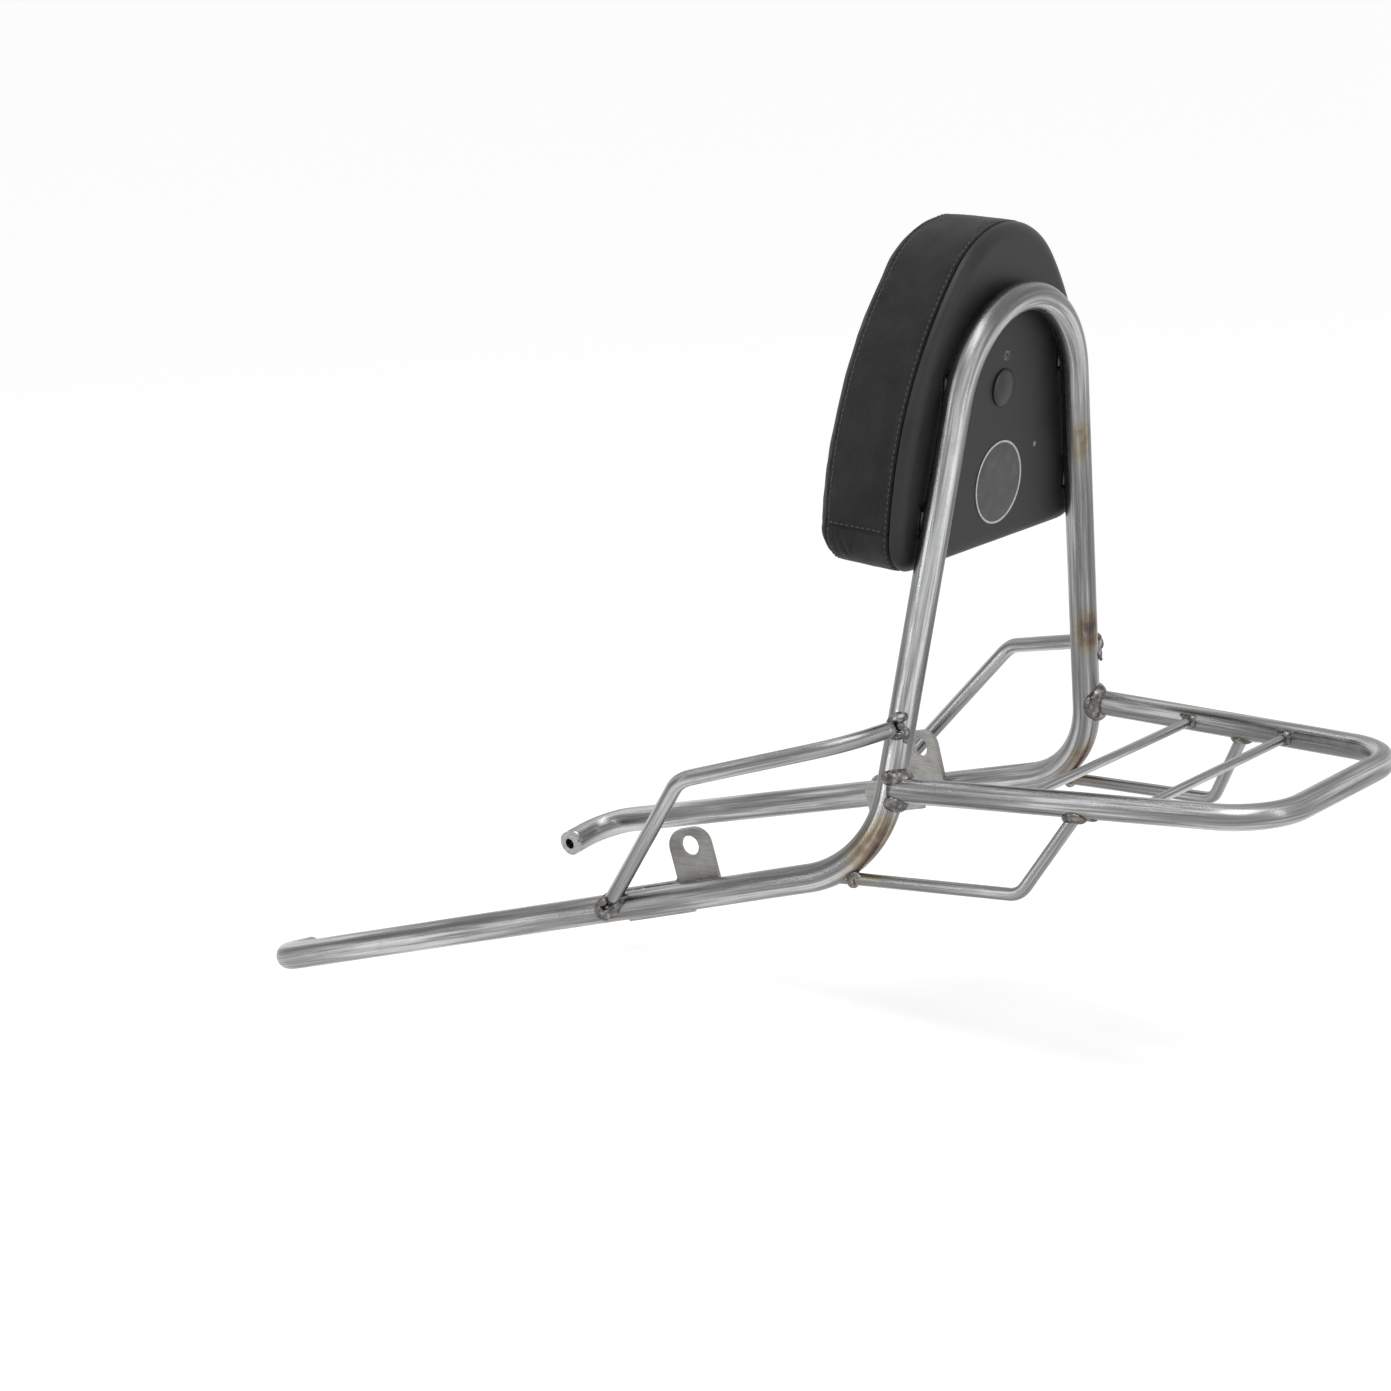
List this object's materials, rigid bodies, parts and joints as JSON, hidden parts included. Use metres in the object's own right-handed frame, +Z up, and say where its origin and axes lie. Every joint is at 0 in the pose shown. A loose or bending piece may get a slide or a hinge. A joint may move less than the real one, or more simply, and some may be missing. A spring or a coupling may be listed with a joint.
{
  "type": "sissy bar",
  "caption": "Motorbike backrest hoop of bent steel tube with side rails, grab rails, a small rear luggage rack on struts and a padded black backrest.",
  "frame": {"origin": "midway between the two legs, in the level plane of the rack tube's axis", "axes": "+X forwards along the vehicle, +Y to the rider's left, +Z up"},
  "size_m": [0.7219, 0.3924, 0.5056],
  "materials": {
    "steel_tube": "raw brushed steel with heat tint at the welds",
    "weld": "lumpy unpainted weld bead",
    "fastener": "dark plated steel",
    "cover": "black grained satin leatherette with fine stitching",
    "back": "smooth black cover on a rigid board",
    "plug": "black satin plastic",
    "badge": "thin round plate, dark with a light rim"
  },
  "bodies": {
    "root": {"main_hoop": "steel_tube", "rack_loop": "steel_tube", "front_crossbar": "steel_tube", "rear_crossbar": "steel_tube", "left_grab_rail": "steel_tube", "right_grab_rail": "steel_tube", "left_strut": "steel_tube", "right_strut": "steel_tube", "left_bracket": "steel_tube", "right_bracket": "steel_tube", "left_front_bush": "fastener", "right_front_bush": "fastener", "pad_lugs": "fastener", "lug_screws": "fastener", "rack_welds": "weld", "crossbar_welds": "weld", "strut_welds": "weld", "grab_rail_welds": "weld", "bracket_welds": "weld", "lug_welds": "weld", "pad_cushion": "cover", "pad_board": "back", "plug_cap": "plug", "badge_plate": "badge"}
  },
  "joints": []
}
